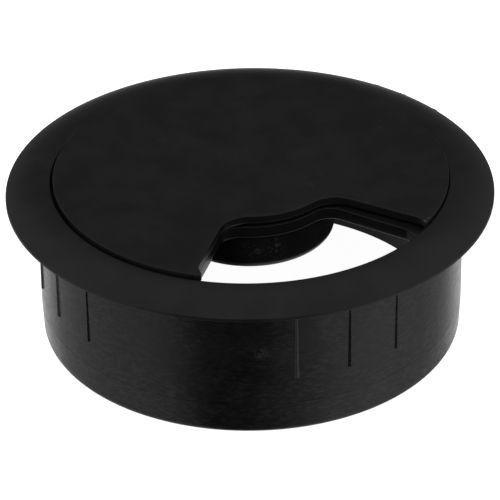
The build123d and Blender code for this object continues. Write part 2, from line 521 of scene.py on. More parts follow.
@dataclass
class Liner:
    """The liner: a turned body with a domed flange, a ribbed wall, a lead-in foot and a ledge inside."""

    wall_radius: float = 39.75
    bore_radius: float = 37.1
    bore_foot_radius: float = 36.8
    bore_middle: float = 0.6
    depth: float = 28.0
    lead_in_height: float = 6.4
    lead_in_inset: float = 0.25
    lead_in_span: Pair = (0.03, 0.75)
    foot_outer_round: float = 1.3
    foot_inner_round: float = 0.1
    flange_radius: float = 45.5
    flange_edge: float = 0.6
    flange_rise: float = 2.9
    flange_crown: float = 0.5
    flange_inner_round: float = 0.2
    rim_round: float = 0.27
    rim_under_round: float = 0.1
    ledge_radius: float = 34.9
    ledge_top: float = -0.8
    ledge_height: float = 2.0
    ledge_round: float = 0.15
    rib_angles: tuple[float, ...] = (-14.6, 0.3, 15.2)
    rib_groups: int = 4
    rib_half_widths: Pair = (0.22, 0.46)
    rib_prouds: Pair = (0.17, 0.35)
    rib_crest_round: float = 0.1
    rib_length: float = 16.4
    rib_run_out: float = 0.3
    rib_end_margin: float = 0.1
    rib_side_margin: float = 1.2
    wall_draft: float = 0.12
    wall_waves: float = 0.012
    wave_counts: Pair = (7.0, 11.0)
    wave_slants: Pair = (4.0, -7.0)
    wave_start: float = -1.0
    witness_width: float = 0.05
    witness_depth: float = 0.08
    burr_angles: tuple[float, ...] = (120.2, 113.3, 112.1, 101.6)
    burr_heights: tuple[float, ...] = (0.16, 0.2, 0.15, 0.16)
    burr_widths: tuple[float, ...] = (0.75, 0.2, 0.55, 0.6)
    burr_insets: Pair = (0.25, 0.02)
    burr_span: float = 2.2
    upper_row_gap: float = 0.3
    lower_row_gaps: Pair = (0.5, 0.12)
    dome_points: int = 13
    round_points: int = 9
    wall_rows: int = 9
    band_rows: int = 6
    rib_columns: int = 11
    burr_columns: int = 25
    column_step: float = 1.0
    column_digits: int = 3
    piece: bpy.types.Object = field(init=False, default=None)

    def wall_heights(self, lead_in: float) -> np.ndarray:
        """Heights of the rows on the wall, close together where the ribs run out.

        Args:
            lead_in: height at which the wall ends.

        Returns:
            The heights, from the flange down to the wall's end.
        """
        margin, gap = self.rib_end_margin, self.upper_row_gap
        run_out = np.linspace(self.rib_run_out + margin, -margin, self.wall_rows) - self.rib_length
        upper = np.linspace(-gap, run_out[0] + gap, self.wall_rows)
        under_ribs, over_end = self.lower_row_gaps
        lower = np.linspace(run_out[-1] - under_ribs, lead_in + over_end, self.band_rows)
        return np.concatenate([upper, run_out, lower, [lead_in]])

    def profile(self) -> tuple[np.ndarray, np.ndarray, np.ndarray]:
        """The half section as a closed path of radius and height.

        Each run of corners has a zone, whether it is on the outside of the wall, and its corners' round.

        Returns:
            The path's points, the zone of each, and 1 for each on the outside of the wall or else 0.
        """
        bore_top = np.array([self.bore_radius, self.flange_rise])
        rim_top = np.array([self.flange_radius, self.flange_edge])
        dome = crown_arc(bore_top, rim_top, self.flange_crown, self.dome_points)
        lead_in = self.lead_in_height - self.depth
        heights = self.wall_heights(lead_in)
        wall = np.column_stack([self.wall_radius - self.wall_draft * heights / lead_in, heights])
        band_radius = self.wall_radius - self.wall_draft
        witness = [
            [band_radius - self.witness_depth, lead_in - self.witness_width / 2.0],
            [band_radius, lead_in - self.witness_width],
        ]
        band = np.array([band_radius, lead_in])
        foot = np.array([band_radius - self.lead_in_inset, -self.depth])
        slope = np.linspace(*self.lead_in_span, self.band_rows)[:, None]
        cone = np.concatenate([witness, (1.0 - slope) * band + slope * foot])
        ledge_bottom = self.ledge_top - self.ledge_height
        bore = [
            [(self.bore_foot_radius + self.bore_radius) / 2.0, -self.depth * self.bore_middle],
            [self.bore_radius, ledge_bottom - (self.bore_radius - self.ledge_radius)],
        ]
        ledge = [[self.ledge_radius, ledge_bottom], [self.ledge_radius, self.ledge_top]]
        runs = (
            ([bore_top], Zone.TOP, 0, self.flange_inner_round),
            (dome, Zone.TOP, 0, 0.0),
            ([rim_top], Zone.TOP, 0, self.rim_round),
            ([[self.flange_radius, 0.0]], Zone.TOP, 0, self.rim_under_round),
            ([[self.wall_radius, 0.0]], Zone.WALL, 1, 0.0),
            (wall, Zone.WALL, 1, 0.0),
            (cone, Zone.WALL, 1, 0.0),
            ([foot], Zone.WALL, 0, self.foot_outer_round),
            ([[self.bore_foot_radius, -self.depth]], Zone.INSIDE, 0, self.foot_inner_round),
            (bore, Zone.INSIDE, 0, 0.0),
            (ledge, Zone.INSIDE, 0, self.ledge_round),
            ([[self.bore_radius, self.ledge_top]], Zone.INSIDE, 0, 0.0),
        )
        corners, zones, outside, rounds = zip(*runs)
        counts = [len(run) for run in corners]
        radii = np.repeat(rounds, counts)
        path, owner = rounded_path(np.concatenate(corners), radii, self.round_points)
        zone = np.repeat([named.value for named in zones], counts)[owner]
        return path, zone, np.repeat(outside, counts)[owner]

    def rib_centres(self) -> np.ndarray:
        """Plan angles of all the ribs: each group's angles, and the groups spread evenly round the wall."""
        groups = np.arange(self.rib_groups) * FULL_TURN / self.rib_groups
        return (groups[:, None] + np.array(self.rib_angles)[None, :]).ravel()

    def columns(self) -> np.ndarray:
        """Plan angles of the grid: evenly spaced, and closer together at the ribs and at the burrs.

        Returns:
            The angles, from 0 up to a full turn.
        """
        share = np.append(np.linspace(0.0, 1.0, self.rib_columns), self.rib_side_margin)
        near = np.concatenate([share, -share[1:]]) * self.rib_half_widths[1] / self.wall_radius
        ribs = self.rib_centres()[:, None] + np.degrees(near)
        spread = np.linspace(-self.burr_span, self.burr_span, self.burr_columns) / self.flange_radius
        burrs = np.array(self.burr_angles)[:, None] + np.degrees(spread)
        even = np.arange(0.0, FULL_TURN, self.column_step)
        angles = np.concatenate([even, ribs.ravel(), burrs.ravel()]) % FULL_TURN
        return np.unique(np.round(angles, self.column_digits))

    @staticmethod
    def arc_distance(angles: np.ndarray, centres: np.ndarray, radius: float) -> np.ndarray:
        """Length of arc at a radius from each centre to each angle, centres by angles."""
        apart = (angles[None, :] - centres[:, None] + HALF_TURN) % FULL_TURN - HALF_TURN
        return np.radians(np.abs(apart)) * radius

    def build(self) -> bpy.types.Object:
        """Turns the profile about the axis and moves its points outwards at the ribs and burrs.

        The radius at a profile point and a plan angle is the profile's, plus the rib's crest at that height
        times the rib's cross-section at that angle, plus the burr's bell curve on the rim, plus two slow
        waves on the wall. The rib is a ridge with two straight flanks and a softened crest: its section
        falls with the root of the squared share of the half width plus the squared softness. Its width and
        its height grow evenly towards the foot.

        Returns:
            The liner's object.
        """
        path, zone, outside = self.profile()
        angles = self.columns()
        height = path[:, 1]
        gap = self.arc_distance(angles, self.rib_centres(), self.wall_radius).min(axis=0)
        taper = np.clip(-height / self.rib_length, 0.0, 1.0)
        half = np.interp(taper, (0.0, 1.0), self.rib_half_widths)
        across = np.clip(gap[None, :] / half[:, None], 0.0, 1.0)
        side = math.hypot(1.0, self.rib_crest_round)
        section = (side - np.hypot(across, self.rib_crest_round)) / (side - self.rib_crest_round)
        crest = np.interp(taper, (0.0, 1.0), self.rib_prouds)
        crest = crest * smooth_rise(-self.rib_length, self.rib_run_out - self.rib_length, height) * outside
        reach = self.arc_distance(angles, np.array(self.burr_angles), self.flange_radius)
        bell = np.exp(-((reach / np.array(self.burr_widths)[:, None]) ** 2))
        burr = np.sum(bell * np.array(self.burr_heights)[:, None], axis=0)
        on_rim = smooth_rise(*(self.flange_radius - inset for inset in self.burr_insets), path[:, 0])
        turned = np.radians(angles)[None, :]
        waves = zip(self.wave_counts, self.wave_slants)
        wave = sum(np.sin(count * turned + height[:, None] / slant) for count, slant in waves)
        on_wall = self.wall_waves * outside * smooth_rise(0.0, self.wave_start, height)
        radius = path[:, 0, None] + crest[:, None] * section + on_rim[:, None] * burr[None, :]
        radius = radius + on_wall[:, None] * wave
        plan = radius[:, :, None] * plan_direction(angles)[None, :, :]
        grid = np.concatenate([plan, np.broadcast_to(height[:, None, None], radius.shape + (1,))], axis=2)
        quads = ring_faces(len(path), len(angles), wrap=True)
        self.piece = surface_object("liner_skin", grid.reshape(-1, 3), quads)
        face_zone = np.repeat(zone, len(angles)).astype(np.int32)
        self.piece.data.polygons.foreach_set("material_index", face_zone)
        return self.piece

    def dress(self, materials: dict[Zone, bpy.types.Material]) -> None:
        """Gives each zone its material and hands the piece to the frame.

        Args:
            materials: a material for each zone.
        """
        for zone in Zone:
            self.piece.data.materials.append(materials[zone])
        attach(self.piece, "base")
        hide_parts("liner")


@dataclass
class Insert:
    """The insert: a windowed plate on the liner's ledge with a hub cup under its middle."""

    outline: WindowedOutline = WindowedOutline(
        window_angle=74.8,
        inner_corner=4.0,
        turn=-5.3,
        nib_reach=1.3,
        nib_start=3.1,
    )
    top: float = 1.5
    bottom: float = -0.8
    top_round: float = 0.08
    edge_round: float = 0.25
    hub_radius: float = 15.75
    hub_inner: float = 13.75
    hub_bottom: float = -7.8
    hub_floor_top: float = -5.8
    hub_round: float = 1.6
    hole_radius: float = 4.2
    mouth_chamfer: float = 0.2
    floor_ring: float = 0.6
    plate_rows: int = 7
    side_rows: int = 4
    round_points: int = 6
    hub_round_points: int = 10
    piece: bpy.types.Object = field(init=False, default=None)

    def build(self) -> bpy.types.Object:
        """Closed rows over the plate's top, round its edge, back under it, down the hub and up the cup.

        Returns:
            The insert's object.
        """
        rows = PlateRows(self.outline)
        upper, fall = quarter_round(self.top_round, self.round_points)
        lower, lift = quarter_round(self.edge_round, self.round_points)
        shares = np.linspace(0.0, 1.0, self.plate_rows)
        sides = np.linspace(self.top - self.top_round, self.bottom + self.edge_round, self.side_rows)[1:-1]
        rows.blend(self.hub_inner + self.mouth_chamfer, self.top, shares)
        rows.edge(upper, self.top - fall)
        rows.edge(np.zeros(len(sides)), sides)
        rows.edge(lower[::-1], self.bottom + lift[::-1])
        rows.blend(self.hub_radius, self.bottom, shares[::-1])
        bend, rise = quarter_round(self.hub_round, self.hub_round_points)
        middle = (self.bottom + self.hub_bottom + self.hub_round) / 2.0
        foot = np.column_stack([self.hub_radius - bend, self.hub_bottom + rise])[::-1]
        cup = [
            [self.hub_radius * self.floor_ring, self.hub_bottom],
            [self.hole_radius, self.hub_bottom],
            [self.hole_radius, self.hub_floor_top],
            [self.hub_inner * self.floor_ring, self.hub_floor_top],
            [self.hub_inner, self.hub_floor_top],
            [self.hub_inner, self.top - self.mouth_chamfer],
        ]
        rows.rings(np.concatenate([[[self.hub_radius, middle]], foot, cup]))
        grid = rows.grid()
        quads = ring_faces(grid.shape[0], grid.shape[1], wrap=True)
        self.piece = surface_object("insert_skin", grid.reshape(-1, 3), quads)
        return self.piece

    def dress(self, material: bpy.types.Material) -> None:
        """Gives the insert its material and hands the piece to the frame.

        Args:
            material: the plastic's finish, with a lighter colour that is painted light in the shade under the
                cap.
        """
        self.piece.data.materials.append(material)
        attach(self.piece, "base")
        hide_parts("insert")


@dataclass
class Cap:
    """The turning cap: a windowed plate with a collar and a split snap stud under its middle."""

    outline: WindowedOutline = WindowedOutline(
        window_angle=77.2,
        inner_corner=5.8,
        turn=-3.85,
        shift=(0.18, -0.09),
        radius=36.8,
        window_inner=15.82,
        nib_reach=1.35,
        nib_start=2.7,
        right_nib=(0.95, 1.5, 0.35),
    )
    top: float = 3.65
    bottom: float = 1.75
    top_round: float = 0.09
    bottom_round: float = 0.7
    nib_height: float = 1.1
    collar_outer: float = 7.5
    collar_inner: float = 6.0
    collar_bottom: float = -5.7
    stud_outer: float = 4.1
    stud_inner: float = 2.3
    barb_radius: float = 4.8
    barb_top: float = -7.9
    stud_tip: float = 3.7
    stud_bottom: float = -9.9
    slot_width: float = 1.4
    slot_depth: float = 6.2
    slot_reach: float = 5.8
    slot_over: float = 1.0
    top_rings: tuple[float, ...] = (2.0, 5.0, 9.0, 13.0)
    plate_rows: int = 8
    top_round_points: int = 7
    bottom_round_points: int = 8
    piece: bpy.types.Object = field(init=False, default=None)

    def build(self) -> bpy.types.Object:
        """Rows from the top's middle over the edge and back under the plate, down the collar and the stud.

        Returns:
            The cap's object, with the stud's slots cut.
        """
        rows = PlateRows(self.outline)
        rows.rings(np.array([[radius, self.top] for radius in self.top_rings]))
        rows.blend(self.top_rings[-1], self.top, np.linspace(0.0, 1.0, self.plate_rows)[1:])
        upper, fall = quarter_round(self.top_round, self.top_round_points)
        rows.edge(upper, self.top - fall)
        top_rows = len(rows.rows) - 1
        rows.edge(np.zeros(1), np.array([self.top - self.nib_height]))
        lower, lift = quarter_round(self.bottom_round, self.bottom_round_points)
        rows.low_edge(lower[::-1], self.bottom + lift[::-1])
        rows.blend(self.collar_outer, self.bottom, np.linspace(1.0, 0.0, self.plate_rows))
        under = [
            [self.collar_outer, self.collar_bottom],
            [self.collar_inner, self.collar_bottom],
            [self.collar_inner, self.bottom],
            [self.stud_outer, self.bottom],
            [self.stud_outer, self.barb_top],
            [self.barb_radius, self.barb_top],
            [self.stud_tip, self.stud_bottom],
            [self.stud_inner, self.stud_bottom],
            [self.stud_inner, self.bottom],
        ]
        rows.rings(np.array(under))
        grid = rows.grid()
        count, columns = grid.shape[:2]
        points = np.concatenate([grid.reshape(-1, 3), [[0.0, 0.0, self.top], [0.0, 0.0, self.bottom]]])
        around = np.arange(columns)
        beside = (around + 1) % columns
        top_pole = np.full(columns, count * columns)
        last = (count - 1) * columns
        fans = [
            np.column_stack([top_pole, top_pole, beside, around]),
            np.column_stack([last + around, last + beside, top_pole + 1, top_pole + 1]),
        ]
        quads = np.concatenate([ring_faces(count, columns, wrap=False), *fans])
        self.piece = surface_object("cap_skin", points, quads)
        face_row = np.repeat([*range(count - 1), 0, count], columns)
        self.piece.data.polygons.foreach_set("material_index", (face_row >= top_rows).astype(np.int32))
        self.cut_slots()
        return self.piece

    def cut_slots(self) -> None:
        """Cuts the two crossed slots that split the stud into prongs."""
        half = self.slot_width / 2.0
        reach = self.slot_reach
        for name, sizes in (("slot_along", (reach, half)), ("slot_across", (half, reach))):
            cutter = self.slot_block(name, sizes)
            cut = self.piece.modifiers.new(name, "BOOLEAN")
            cut.operation = "DIFFERENCE"
            cut.solver = "EXACT"
            cut.object = cutter
            bpy.context.view_layer.objects.active = self.piece
            bpy.ops.object.modifier_apply(modifier=cut.name)
            bpy.data.objects.remove(cutter)
        self.piece.data.set_sharp_from_angle(angle=math.radians(SHARP_EDGE))

    def slot_block(self, name: str, half_sizes: Pair) -> bpy.types.Object:
        """A closed block over the stud's lower end: a square of four corners at two heights.

        Args:
            name: name of the object.
            half_sizes: half widths along X and Y.

        Returns:
            The block's object.
        """
        plan = SQUARE * np.array(half_sizes)
        levels = (self.stud_bottom - self.slot_over, self.stud_bottom + self.slot_depth)
        points = np.concatenate([np.column_stack([plan, np.full(len(plan), level)]) for level in levels])
        ends = np.array([[3, 2, 1, 0], [4, 5, 6, 7]])
        quads = ring_faces(len(levels), len(plan), wrap=False)
        return surface_object(name, points, np.concatenate([quads, ends]))

    def dress(self, top: bpy.types.Material, sides: bpy.types.Material) -> None:
        """Gives the cap its materials and hands the piece to the frame.

        Args:
            top: the top's finish, with painted highlights at the right nib.
            sides: the material of everything else, whose lighter colour is painted light.
        """
        for material in (top, sides):
            self.piece.data.materials.append(material)
        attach(self.piece, "cover")
        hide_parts("cap")


class NodeBoard:
    """A node tree that is filled node by node: an input is linked to a socket, or set to any other value."""

    def __init__(self, tree: bpy.types.NodeTree) -> None:
        """Keeps the tree and empties it."""
        self.tree = tree
        tree.nodes.clear()

    def add(
        self, kind: str, inputs: Mapping[str | int, Operand] | None = None, **settings: object
    ) -> bpy.types.Node:
        """Adds a node.

        Args:
            kind: the node's class name after "ShaderNode".
            inputs: sockets or values by the input's name or number.
            settings: properties of the node, which are set first.

        Returns:
            The node.
        """
        node = self.tree.nodes.new("ShaderNode" + kind)
        for name, value in settings.items():
            setattr(node, name, value)
        for key, value in (inputs or {}).items():
            if isinstance(value, Socket):
                self.tree.links.new(value, node.inputs[key])
            else:
                node.inputs[key].default_value = value
        return node

    def group(self, tree: bpy.types.NodeTree, **inputs: Operand) -> Mapping[str, Socket]:
        """Adds a node group with its inputs and gives its outputs."""
        return self.add("Group", inputs, node_tree=tree).outputs

    def math(self, operation: str, *values: Operand) -> Socket:
        """Adds a Math node over the values and gives its result."""
        return self.add("Math", dict(enumerate(values)), operation=operation).outputs[0]

    def vector(self, operation: str, *values: Operand) -> Mapping[str, Socket]:
        """Adds a Vector Math node over the values and gives its outputs, Vector and Value."""
        return self.add("VectorMath", dict(enumerate(values)), operation=operation).outputs

    def weighted(self, *shares: tuple[Socket, Operand]) -> Socket:
        """Sum of values, each times its weight.

        Args:
            shares: pairs of a value and its weight.

        Returns:
            The sum.
        """
        total = self.math("MULTIPLY", *shares[0])
        for value, weight in shares[1:]:
            total = self.math("MULTIPLY_ADD", value, weight, total)
        return total

    def ramp(self, value: Operand, low: float, high: float, start: float = 0.0, end: float = 1.0) -> Socket:
        """A smooth step of a value.

        Args:
            value: where the step is wanted.
            low: value at which the step begins.
            high: value at which it ends.
            start: result before the step.
            end: result after it.

        Returns:
            The result.
        """
        inputs = {"Value": value, "From Min": low, "From Max": high, "To Min": start, "To Max": end}
        return self.add("MapRange", inputs, interpolation_type="SMOOTHSTEP").outputs["Result"]

    def mixed(self, share: Socket, first: Operand, second: Operand) -> Socket:
        """The first value, changed to the second by a share."""
        return self.add("Mix", {0: share, 2: first, 3: second}, data_type="FLOAT").outputs[0]

    def tint(self, share: Socket, first: Operand, second: Operand) -> Socket:
        """The first colour, changed to the second by a share."""
        return self.add("Mix", {0: share, 6: first, 7: second}, data_type="RGBA").outputs[2]

    def noise(self, place: Socket, scale: Operand, detail: float) -> Socket:
        """Noise at a place, about 0.5 on average."""
        return self.add("TexNoise", {"Vector": place, "Scale": scale, "Detail": detail}).outputs["Fac"]


class EffectGroup(NodeBoard):
    """A node group with a surface effect: it takes a place and some values, and gives masks and heights."""

    def __init__(self, name: str, *values: str) -> None:
        """Makes the group, with a Vector input and an input for each named value.

        Args:
            name: the group's name.
            values: names of the inputs beside Vector.
        """
        super().__init__(bpy.data.node_groups.new(name, "ShaderNodeTree"))
        self.tree.interface.new_socket("Vector", in_out="INPUT", socket_type="NodeSocketVector")
        for value in values:
            self.tree.interface.new_socket(value, in_out="INPUT", socket_type="NodeSocketFloat")
        self.taken = self.tree.nodes.new("NodeGroupInput").outputs

    def give(self, **results: Socket) -> bpy.types.NodeTree:
        """Makes an output for each named result.

        Args:
            results: the results by the outputs' names.

        Returns:
            The finished group.
        """
        for name in results:
            self.tree.interface.new_socket(name, in_out="OUTPUT", socket_type="NodeSocketFloat")
        end = self.tree.nodes.new("NodeGroupOutput")
        for name, result in results.items():
            self.tree.links.new(result, end.inputs[name])
        return self.tree


@dataclass
class SurfaceEffects:
    """The effects that all the finishes share, each built once as a node group.

    Scales are cells in a metre, and a band is the stretch of a value over which a mask rises.
    """

    dust_ratio: float = 2.3
    pebble_share: float = 0.6
    dust_share: float = 0.4
    patch_scale: float = 170.0
    patch_band: Pair = (0.3, 0.7)
    streak_scales: Pair = (220.0, 700.0)
    streak_patch_scale: float = 110.0
    streak_patch_band: Pair = (0.3, 0.6)
    streak_patch_low: float = 0.35
    speck_scale: float = 620.0
    speck_band: Pair = (0.16, 0.07)
    hair_scales: Triple = (900.0, 60.0, 300.0)
    hair_band: Pair = (0.02, 0.004)
    hair_patch_scale: float = 140.0
    hair_patch_band: Pair = (0.62, 0.7)
    hair_strength: float = 0.08
    grain: bpy.types.NodeTree = field(init=False, default=None)
    streaks: bpy.types.NodeTree = field(init=False, default=None)
    marks: bpy.types.NodeTree = field(init=False, default=None)

    def __post_init__(self) -> None:
        """Builds the groups."""
        self.grain = self.mould_grain()
        self.streaks = self.flow_streaks()
        self.marks = self.handling_marks()

    def mould_grain(self) -> bpy.types.NodeTree:
        """Fine pebbled grain of an eroded mould, and slow patches in how well it was taken.

        Returns:
            The group: Cell is the grain's size in millimetres, Height the grain, and Patches a slow change.
        """
        group = EffectGroup("mould_grain", "Cell")
        place = group.taken["Vector"]
        scale = group.math("DIVIDE", 1.0 / MM, group.taken["Cell"])
        pebbles = group.add("TexVoronoi", {"Vector": place, "Scale": scale}).outputs["Distance"]
        dust = group.noise(place, group.math("MULTIPLY", scale, self.dust_ratio), detail=2.0)
        height = group.weighted((pebbles, self.pebble_share), (dust, self.dust_share))
        patches = group.ramp(group.noise(place, self.patch_scale, detail=4.0), *self.patch_band)
        return group.give(Height=height, Patches=patches)

    def flow_streaks(self) -> bpy.types.NodeTree:
        """Faint level streaks, as the plastic leaves them on a smooth wall: noise stretched round the part.

        Returns:
            The group: Pitch is the streaks' spacing in millimetres, Streaks are long ones and Dashes short
            ones, and both are about 0.5 where there are none.
        """
        group = EffectGroup("flow_streaks", "Pitch")
        place = group.taken["Vector"]
        upright = group.math("DIVIDE", 1.0 / MM, group.taken["Pitch"])
        spread = group.noise(place, self.streak_patch_scale, detail=2.0)
        patch = group.ramp(spread, *self.streak_patch_band, start=self.streak_patch_low)
        swings = []
        for around in self.streak_scales:
            stretch = group.add("CombineXYZ", {"X": around, "Y": around, "Z": upright}).outputs["Vector"]
            level = group.vector("MULTIPLY", place, stretch)["Vector"]
            swing = group.math("SUBTRACT", group.noise(level, 1.0, detail=3.0), NOISE_MIDDLE)
            swings.append(group.math("MULTIPLY_ADD", swing, patch, NOISE_MIDDLE))
        return group.give(Streaks=swings[0], Dashes=swings[1])

    def handling_marks(self) -> bpy.types.NodeTree:
        """Pale specks and short hairlines: the middles of some cells, and thin level lines of a noise.

        Returns:
            The group: Coverage is the share of cells with a speck, and Marks is 1 on a mark.
        """
        group = EffectGroup("handling_marks", "Coverage")
        place = group.taken["Vector"]
        cells = group.add("TexVoronoi", {"Vector": place, "Scale": self.speck_scale}).outputs
        chance = group.add("SeparateColor", {"Color": cells["Color"]}).outputs[0]
        chosen = group.math("LESS_THAN", chance, group.taken["Coverage"])
        speck = group.math("MULTIPLY", group.ramp(cells["Distance"], *self.speck_band), chosen)
        stretched = group.vector("MULTIPLY", place, self.hair_scales)["Vector"]
        swing = group.math("SUBTRACT", group.noise(stretched, 1.0, detail=0.0), NOISE_MIDDLE)
        line = group.ramp(group.math("ABSOLUTE", swing), *self.hair_band)
        kept = group.ramp(group.noise(place, self.hair_patch_scale, detail=1.0), *self.hair_patch_band)
        hair = group.math("MULTIPLY", group.math("MULTIPLY", line, kept), self.hair_strength)
        return group.give(Marks=group.math("MAXIMUM", speck, hair))


@dataclass(frozen=True)
class ScuffAndGlint:
    """A small pale place: broken pale specks within a distance of a point. It serves for real scuffs and
    marks, and for painted highlights where a corner catches light.
    """

    centre: Triple
    reach: float
    cell: float
    threshold: float
    strength: float
    core: float = 0.3
    softness: float = 0.08

    def mask(self, board: NodeBoard, place: Socket) -> Socket:
        """A bell round the centre times a sharp step of fine noise.

        Args:
            board: the material's nodes.
            place: object coordinates.

        Returns:
            The mask, 0 away from the spot.
        """
        away = board.vector("DISTANCE", place, tuple(MM * value for value in self.centre))["Value"]
        near = board.ramp(away, self.reach * MM, self.core * self.reach * MM)
        fine = board.noise(place, 1.0 / (self.cell * MM), detail=1.0)
        fleck = board.ramp(fine, self.threshold, self.threshold + self.softness)
        return board.math("MULTIPLY", board.math("MULTIPLY", near, fleck), self.strength)


@dataclass(frozen=True)
class Finish:
    """A finish of the black plastic: its colour, its sheen and how strongly each surface effect shows. Some
    carry painted light: a lighter colour on shaded surfaces, or pale spots that are painted highlights.
    """

    name: str
    color: Color = (0.0014, 0.0014, 0.0015, 1.0)
    patch_color: Color = (0.005, 0.005, 0.0051, 1.0)
    streak_color: Color = (0.018, 0.018, 0.0185, 1.0)
    mark_color: Color = (0.05, 0.05, 0.052, 1.0)
    roughness: Pair = (0.36, 0.39)
    grain_cell: float = 0.28
    grain_depth: float = 0.008
    streak_pitch: float = 0.5
    streak_depth: float = 0.0
    streak_sheen: float = 0.0
    streak_share: float = 0.0
    streak_band: Pair = (0.45, 0.75)
    streak_gloss: float = 0.0
    gloss_band: Pair = (0.42, 0.62)
    mark_coverage: float = 0.003
    scuffs_and_glints: tuple[ScuffAndGlint, ...] = ()

    def material(self, effects: SurfaceEffects) -> bpy.types.Material:
        """Makes the material: the groups feed its colour, its roughness and its bump.

        Args:
            effects: the shared node groups.

        Returns:
            The material.
        """
        made = bpy.data.materials.new(self.name)
        made.use_nodes = True
        board = NodeBoard(made.node_tree)
        place = board.add("TexCoord").outputs["Object"]
        grain = board.group(effects.grain, Vector=place, Cell=self.grain_cell)
        streaks = board.group(effects.streaks, Vector=place, Pitch=self.streak_pitch)
        marks = board.group(effects.marks, Vector=place, Coverage=self.mark_coverage)
        # Pale mix: real specks, hairlines and scuffs, and the painted highlights among the spots.
        pale = marks["Marks"]
        for spot in self.scuffs_and_glints:
            pale = board.math("MAXIMUM", pale, spot.mask(board, place))
        color = board.tint(grain["Patches"], self.color, self.patch_color)
        flow = board.ramp(streaks["Dashes"], *self.streak_band, end=self.streak_share)
        color = board.tint(flow, color, self.streak_color)
        color = board.tint(pale, color, self.mark_color)
        swing = board.math("SUBTRACT", streaks["Streaks"], NOISE_MIDDLE)
        sheen = board.ramp(grain["Patches"], 0.0, 1.0, *self.roughness)
        sheen = board.math("MULTIPLY_ADD", swing, self.streak_sheen, sheen)
        height = board.weighted((grain["Height"], self.grain_depth), (streaks["Dashes"], self.streak_depth))
        bump = board.add("Bump", {"Height": height, "Distance": MM}).outputs["Normal"]
        plastic = board.add("BsdfPrincipled", {"Base Color": color, "Roughness": sheen, "Normal": bump})
        if self.streak_gloss:
            gloss = board.ramp(streaks["Dashes"], *self.gloss_band, end=self.streak_gloss)
            board.tree.links.new(gloss, plastic.inputs["Coat Weight"])
            plastic.inputs["Coat Roughness"].default_value = self.roughness[0]
        board.add("OutputMaterial", {"Surface": plastic.outputs["BSDF"]})
        return made


GRAINED_TOP_PAINTED_GLINTS = Finish(
    "grained_top_painted_glints",
    scuffs_and_glints=(
        # Painted highlights: two pale spots on the cap's top edge at the right nib, where its corner catches
        # light.
        ScuffAndGlint(centre=(20.44, -30.29, 3.6), reach=0.5, cell=0.5, threshold=0.3, strength=0.9),
        ScuffAndGlint(centre=(21.45, -29.7, 3.6), reach=0.45, cell=0.5, threshold=0.3, strength=0.5),
    ),
)
SATIN_WALL = Finish(
    "satin_wall",
    roughness=(0.2, 0.25),
    grain_depth=0.0015,
    streak_depth=0.05,
    streak_sheen=0.3,
    streak_share=0.5,
    streak_gloss=0.2,
    scuffs_and_glints=(ScuffAndGlint(centre=(-15.93, -36.42, -10.3), reach=1.9, cell=0.5, threshold=0.45, strength=0.32),),
)
# The same black plastic as the top, with a lighter colour: painted light on the cap's shaded sides,
# underside, collar and stud.
CAP_SIDE_PAINTED_LIGHT = Finish(
    "cap_side_painted_light",
    color=(0.0075, 0.0075, 0.0077, 1.0),
    patch_color=(0.0095, 0.0095, 0.0097, 1.0),
    roughness=(0.3, 0.36),
    grain_depth=0.004,
    # Pale specks on the right nib: partly scuffing, partly a painted highlight on the lit corner.
    scuffs_and_glints=(ScuffAndGlint(centre=(20.3, -29.9, 3.0), reach=1.6, cell=0.6, threshold=0.42, strength=0.4),),
)
# The same black plastic with a lighter colour than the top: painted light in the shade inside the liner and
# under the cap. The hub's pale spots are real marks.
INSIDE_SATIN_PAINTED_LIGHT = Finish(
    "inside_satin_painted_light",
    color=(0.0072, 0.0072, 0.0073, 1.0),
    patch_color=(0.0088, 0.0088, 0.0089, 1.0),
    roughness=(0.2, 0.25),
    grain_depth=0.003,
    streak_depth=0.006,
    streak_sheen=0.15,
    scuffs_and_glints=(
        ScuffAndGlint(centre=(-2.26, -15.59, -3.05), reach=0.7, cell=0.5, threshold=0.3, strength=0.7),
        ScuffAndGlint(centre=(-5.71, -14.68, -3.8), reach=1.0, cell=0.4, threshold=0.4, strength=0.6),
        ScuffAndGlint(centre=(-2.9, -15.5, -3.3), reach=3.2, cell=0.45, threshold=0.56, strength=0.6),
        ScuffAndGlint(centre=(-7.4, -13.9, -3.8), reach=2.4, cell=0.5, threshold=0.58, strength=0.5),
    ),
)


@dataclass(frozen=True)
class PhotoCamera:
    """Camera at the photograph's place, which looks at a target near the axis from a given direction."""

    azimuth: float = PHOTO_AZIMUTH
    elevation: float = 31.93
    roll: float = -0.813
    distance: float = 667.75
    target: Triple = (-0.128, 0.0627, -13.364)
    lens: float = 255.25
    sensor: float = 36.0
    clip: Pair = (0.01, 20.0)

    def place(self) -> bpy.types.Object:
        """Makes the scene's camera, with its axes turned by the azimuth, the elevation and the roll.

        Returns:
            The camera.
        """
        around = math.radians(self.azimuth)
        back = sight_direction(self.azimuth, self.elevation)
        right = Vector((math.cos(around), math.sin(around), 0.0))
        up = back.cross(right)
        lean = Matrix.Rotation(math.radians(self.roll), 3, back)
        axes = Matrix((lean @ right, lean @ up, back)).transposed().to_4x4()
        place = (Vector(self.target) + back * self.distance) * MM
        data = bpy.data.cameras.new("photo_camera")
        data.lens = self.lens
        data.sensor_width = self.sensor
        data.clip_start, data.clip_end = self.clip
        camera = bpy.data.objects.new("photo_camera", data)
        camera.matrix_world = Matrix.Translation(place) @ axes
        bpy.context.scene.collection.objects.link(camera)
        bpy.context.scene.camera = camera
        return camera


